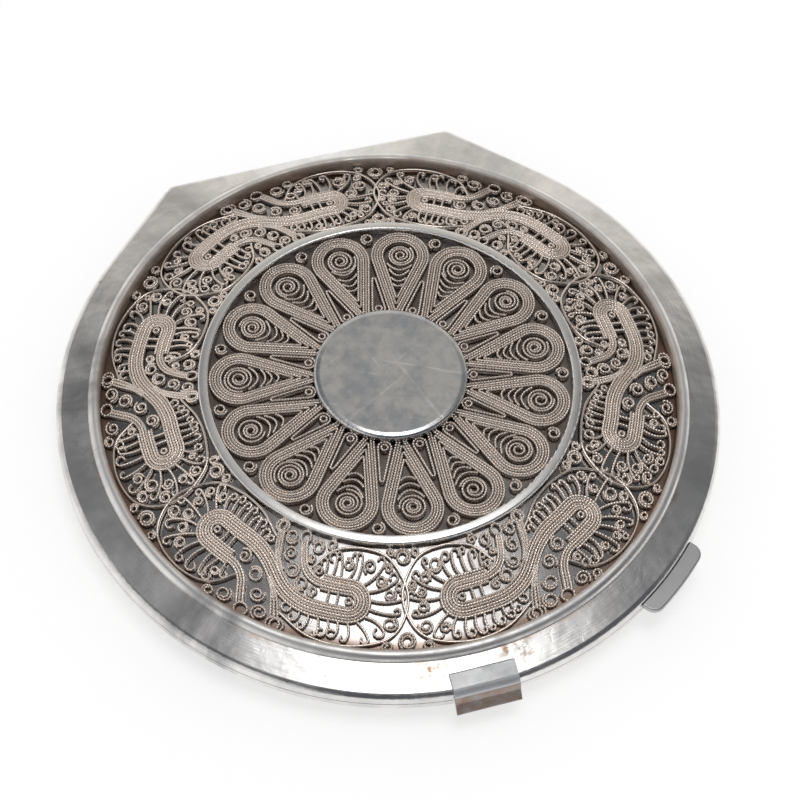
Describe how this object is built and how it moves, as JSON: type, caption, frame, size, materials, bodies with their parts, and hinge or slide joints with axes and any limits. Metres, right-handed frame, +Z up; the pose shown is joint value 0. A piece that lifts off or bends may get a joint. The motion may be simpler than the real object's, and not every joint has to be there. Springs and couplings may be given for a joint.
{
  "type": "compact mirror",
  "caption": "Round folding compact mirror: a hinged lid with a domed filigree panel over a shallow base, a mirror in each leaf, a spring clip and a thumb tab.",
  "frame": {"origin": "centre of the flat underside of the base", "axes": "+Z up out of the lid, X along the hinge, +Y towards the hinge, -Y towards the clasp clip"},
  "size_m": [0.075, 0.0744, 0.0088],
  "materials": {
    "case_silver": "polished, lightly worn",
    "base_silver": "polished, lightly worn",
    "bezel_silver": "polished, tarnished brown on its inner wall",
    "ring_silver": "polished",
    "disc_silver": "satin, fine scratches",
    "lining_silver": "polished, brown tarnish in the corners",
    "hinge_silver": "satin",
    "pin_steel": "bright",
    "mirror_rim_silver": "polished",
    "clip_silver": "matte foot, polished bend",
    "tab_silver": "matte, bright edge",
    "filigree_silver": "beaded wire, brown patina in the recesses",
    "mirror_glass": "silvered glass",
    "backing_card": "dark card"
  },
  "bodies": {
    "base": {"base_pan": "base_silver", "base_mirror_pad": "backing_card", "base_mirror": "mirror_glass", "base_mirror_rim": "mirror_rim_silver", "base_knuckles": "hinge_silver", "hinge_pin": "pin_steel"},
    "lid": {"lid_frame": "case_silver", "bezel_ring": "bezel_silver", "lining_plate": "lining_silver", "lid_mirror_pad": "backing_card", "lid_mirror": "mirror_glass", "lid_mirror_rim": "mirror_rim_silver", "lid_knuckle": "hinge_silver", "clasp_clip": "clip_silver", "thumb_tab": "tab_silver", "divider_ring": "ring_silver", "center_disc": "disc_silver", "filigree_petal_01": "filigree_silver", "filigree_petal_02": "filigree_silver", "filigree_petal_03": "filigree_silver", "filigree_petal_04": "filigree_silver", "filigree_petal_05": "filigree_silver", "filigree_petal_06": "filigree_silver", "filigree_petal_07": "filigree_silver", "filigree_petal_08": "filigree_silver", "filigree_petal_09": "filigree_silver", "filigree_petal_10": "filigree_silver", "filigree_petal_11": "filigree_silver", "filigree_petal_12": "filigree_silver", "filigree_petal_13": "filigree_silver", "filigree_petal_14": "filigree_silver", "filigree_petal_15": "filigree_silver", "filigree_panel_1": "filigree_silver", "filigree_panel_2": "filigree_silver", "filigree_panel_3": "filigree_silver", "filigree_panel_4": "filigree_silver", "filigree_panel_5": "filigree_silver", "filigree_panel_6": "filigree_silver", "rosette_rings": "filigree_silver", "rosette_drops": "filigree_silver", "panel_rings": "filigree_silver"}
  },
  "joints": [
    {"name": "lid_hinge", "type": "hinge", "parent": "base", "child": "lid", "pos_m": [0, 0.03475, 0.0038], "axis": [-1, 0, 0], "range_deg": [0, 150]}
  ]
}
